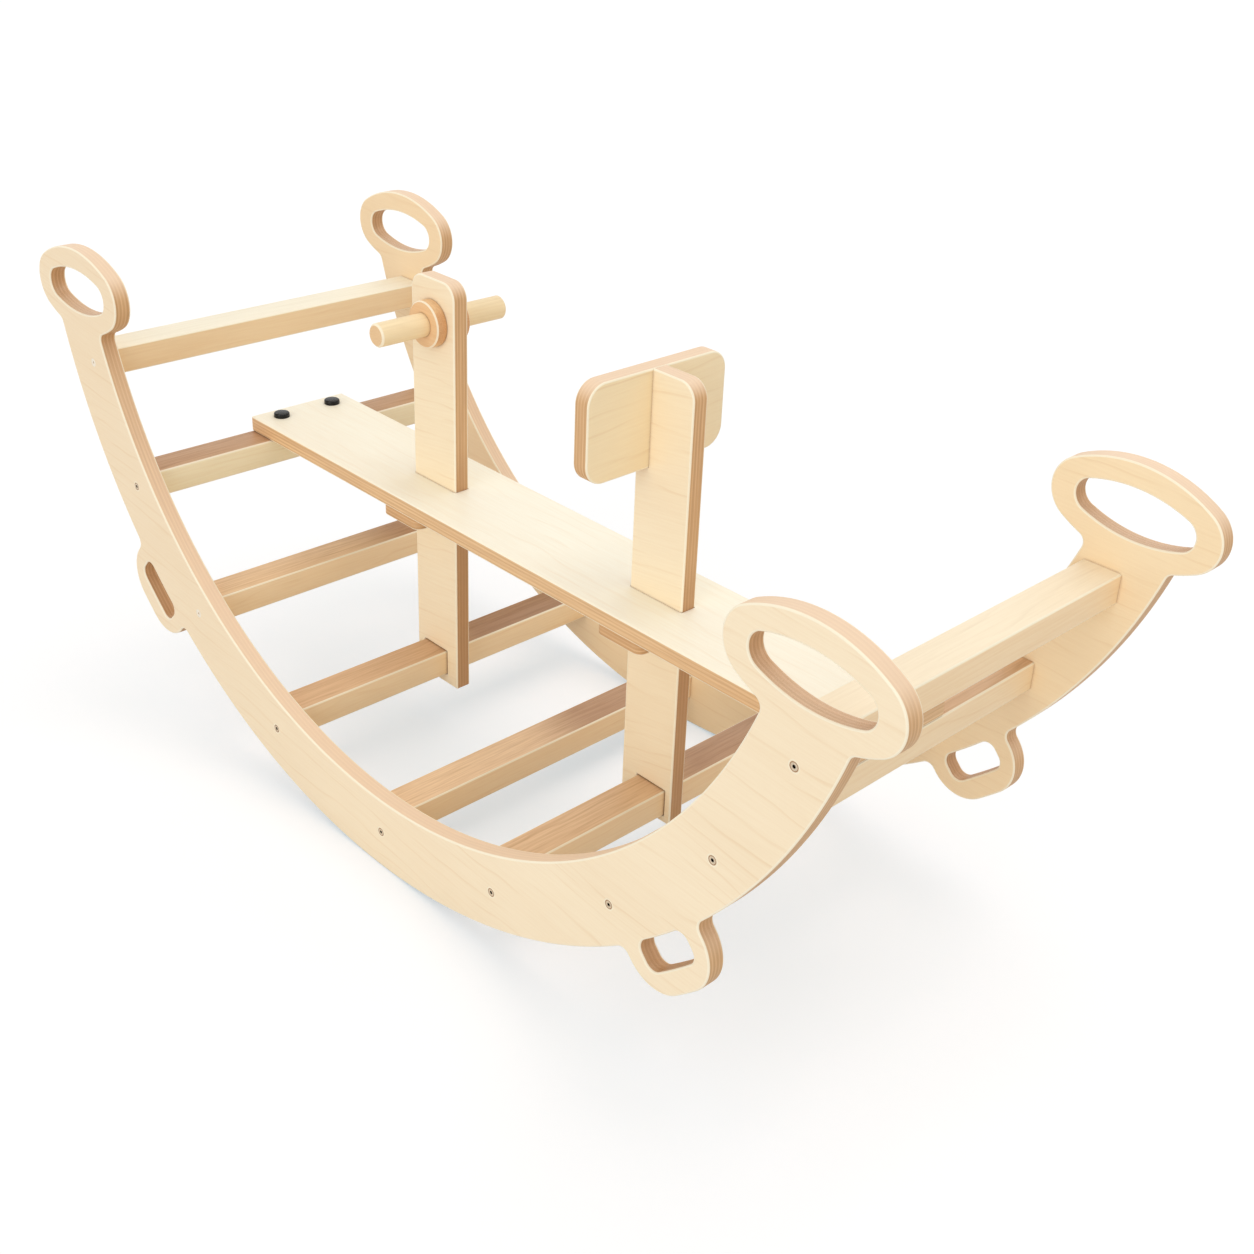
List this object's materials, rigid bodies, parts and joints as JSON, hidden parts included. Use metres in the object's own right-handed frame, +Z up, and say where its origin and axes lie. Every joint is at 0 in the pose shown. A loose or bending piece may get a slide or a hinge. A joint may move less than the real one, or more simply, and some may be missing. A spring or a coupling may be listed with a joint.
{
  "type": "seesaw rocker",
  "caption": "Wooden seesaw rocker: curved side panels with grip loops, joined by rungs, with a seat plank, a handlebar post and a backrest post.",
  "frame": {"origin": "on the floor under the lowest line of the rolling edges, halfway along and halfway across", "axes": "+X along the rocker from the handlebar end to the backrest end, +Y across it to the far side panel, +Z up"},
  "size_m": [1.2314, 0.445, 0.528],
  "materials": {
    "plywood": "clear satin varnish on birch plywood, with the layers showing at the edges",
    "solid_wood": "clear satin varnish on solid pale wood",
    "steel": "plated steel screws and bolts",
    "black_plastic": "glossy black plastic"
  },
  "bodies": {
    "rocker": {"near_side_panel": "plywood", "far_side_panel": "plywood", "rung_1": "solid_wood", "rung_2": "solid_wood", "rung_3": "solid_wood", "rung_4": "solid_wood", "rung_5": "solid_wood", "rung_6": "solid_wood", "rung_7": "solid_wood", "rung_8": "solid_wood", "rung_9": "solid_wood", "seat_plank": "plywood", "handle_post": "plywood", "backrest_post": "plywood", "backrest_plate": "plywood", "handle_post_near_cleat": "plywood", "handle_post_far_cleat": "plywood", "backrest_post_near_cleat": "plywood", "backrest_post_far_cleat": "plywood", "near_panel_screws": "steel", "far_panel_screws": "steel", "backrest_screws": "steel", "seat_bolts": "steel", "seat_bolt_caps": "black_plastic"},
    "handlebar": {"handlebar": "solid_wood", "handlebar_near_collar": "solid_wood", "handlebar_far_collar": "solid_wood"}
  },
  "joints": [
    {"name": "handlebar_turn", "type": "hinge", "parent": "rocker", "child": "handlebar", "pos_m": [-0.17944, 0, 0.48049], "axis": [0, 1, 0], "continuous": true}
  ]
}
